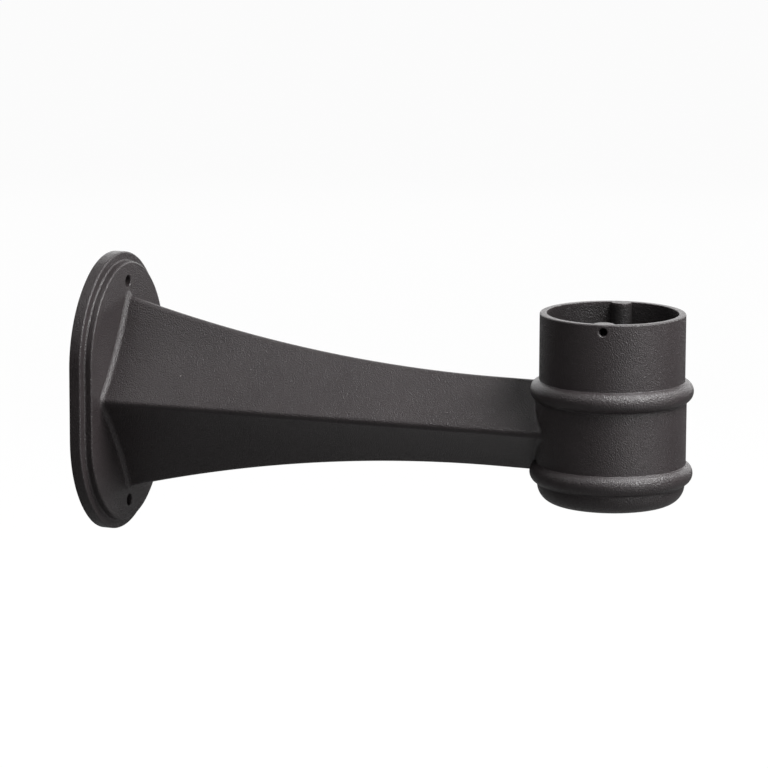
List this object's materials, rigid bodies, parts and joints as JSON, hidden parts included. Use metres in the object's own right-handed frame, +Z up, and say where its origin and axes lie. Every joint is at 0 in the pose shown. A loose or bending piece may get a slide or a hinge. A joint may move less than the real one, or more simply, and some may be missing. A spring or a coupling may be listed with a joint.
{
  "type": "lamp wall bracket",
  "caption": "Cast wall bracket for a post-top lamp: a stepped oval wall plate, a hollow flared arm of diamond section and an upright beaded cup whose round spigot the lamp fits over.",
  "frame": {"origin": "centre of the wall plate's back face, on the wall, midway between the two screw holes", "axes": "+X points away from the wall along the arm, +Z points up along the cup's upright axis, +Y completes the frame"},
  "size_m": [0.331, 0.103, 0.152],
  "materials": {
    "casting": "satin black textured powder coat on cast aluminium"
  },
  "bodies": {
    "root": {"bracket_casting": "casting"}
  },
  "joints": []
}
